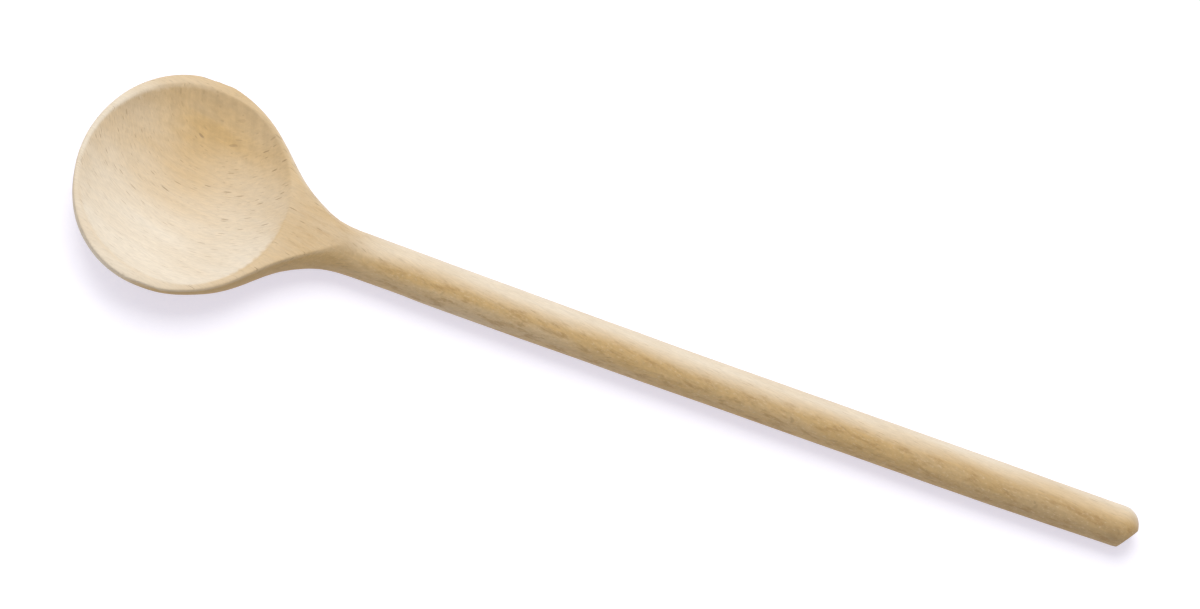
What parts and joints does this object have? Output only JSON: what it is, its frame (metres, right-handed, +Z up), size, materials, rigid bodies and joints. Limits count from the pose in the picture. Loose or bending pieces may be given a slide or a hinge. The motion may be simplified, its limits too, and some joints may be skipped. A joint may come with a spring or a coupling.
{
  "type": "wooden spoon",
  "caption": "Wooden cooking spoon with a round shallow dish, a flared neck and a long straight round handle with a domed end.",
  "frame": {"origin": "on the table, on the flat that is sanded on the bowl's back, under the centre of the dish", "axes": "+X along the spoon, from the dish towards the handle's end; +Z up, out of the dish; the table is z = 0"},
  "size_m": [0.2999, 0.0622, 0.0144],
  "materials": {
    "beech": "bare pale beech, sanded and matt, with fine short dark flecks along the grain"
  },
  "bodies": {
    "root": {"spoon": "beech"}
  },
  "joints": []
}
